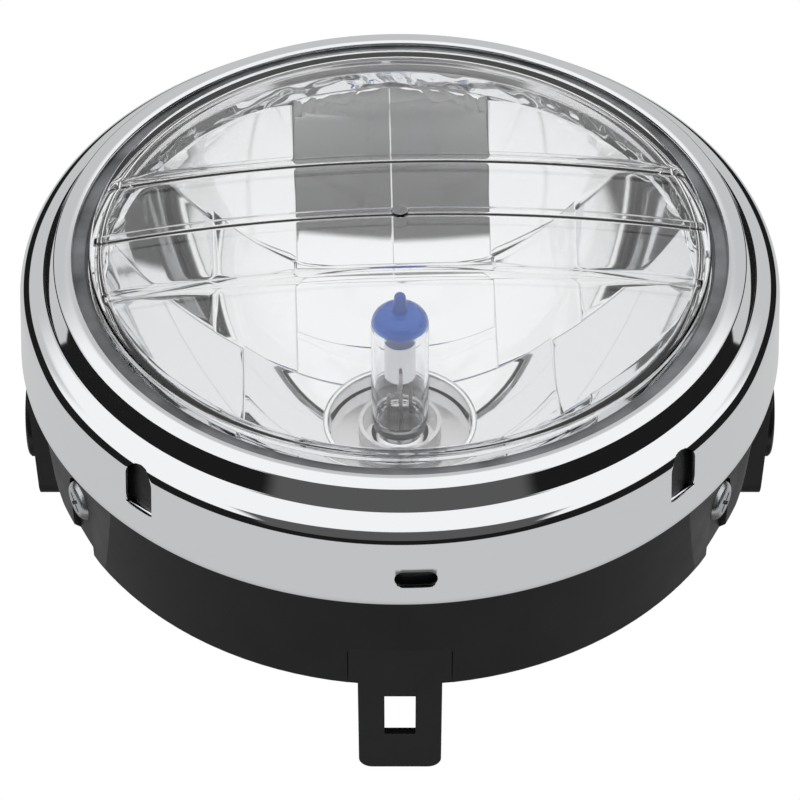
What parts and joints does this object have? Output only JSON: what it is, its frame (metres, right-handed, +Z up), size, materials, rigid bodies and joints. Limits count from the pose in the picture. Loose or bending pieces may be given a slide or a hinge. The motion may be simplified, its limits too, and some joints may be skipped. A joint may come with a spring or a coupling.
{
  "type": "motorcycle headlight",
  "caption": "Round headlight with a chrome rim, clear ribbed lens, faceted reflector and bulb in a black case with threaded side mounts and a slotted tab.",
  "frame": {"origin": "middle of the tilt axis, between the two side mounts; it is also the middle of the whole lamp's box", "axes": "+X across the lamp along the tilt axis, -Y out of the lens along the lens axis, +Z up with the slotted tab at the bottom"},
  "size_m": [0.201, 0.144, 0.199],
  "materials": {
    "black_case": "moulded satin",
    "chrome_rim": "polished plate",
    "lens_glass": "clear",
    "grey_seal": "matt",
    "mirror_coat": "metallised",
    "spring_steel": "bare",
    "zinc_steel": "zinc plated",
    "brass_insert": "turned",
    "black_steel": "black paint, satin",
    "black_rubber": "moulded",
    "bulb_glass": "clear with a blue cap",
    "bulb_metal": "nickel plated",
    "filament_wire": "drawn wire",
    "base_plastic": "moulded"
  },
  "bodies": {
    "root": {"case": "black_case", "rim": "chrome_rim", "lens": "lens_glass", "lens_seal": "grey_seal", "reflector": "mirror_coat", "unit_clip_bottom": "spring_steel", "unit_clip_right": "spring_steel", "unit_clip_top": "spring_steel", "unit_clip_left": "spring_steel", "bulb_clip": "spring_steel", "rim_arm_left": "zinc_steel", "rim_arm_right": "zinc_steel", "rim_nut_left": "zinc_steel", "rim_nut_right": "zinc_steel", "rim_screw_left": "zinc_steel", "rim_screw_right": "zinc_steel", "bulb_clip_screw": "zinc_steel", "side_insert_left": "brass_insert", "side_insert_right": "brass_insert", "terminal_common": "brass_insert", "terminal_main": "brass_insert", "terminal_dip": "brass_insert", "side_collar_left": "black_steel", "side_collar_right": "black_steel", "adjuster_tab": "black_steel", "cable_grommet": "black_rubber", "dust_boot": "black_rubber", "bulb_glass": "bulb_glass", "bulb_shield": "bulb_metal", "bulb_ferrule": "bulb_metal", "bulb_flange": "bulb_metal", "dip_filament": "filament_wire", "main_filament": "filament_wire", "bulb_leads": "filament_wire", "bulb_base": "base_plastic"}
  },
  "joints": []
}
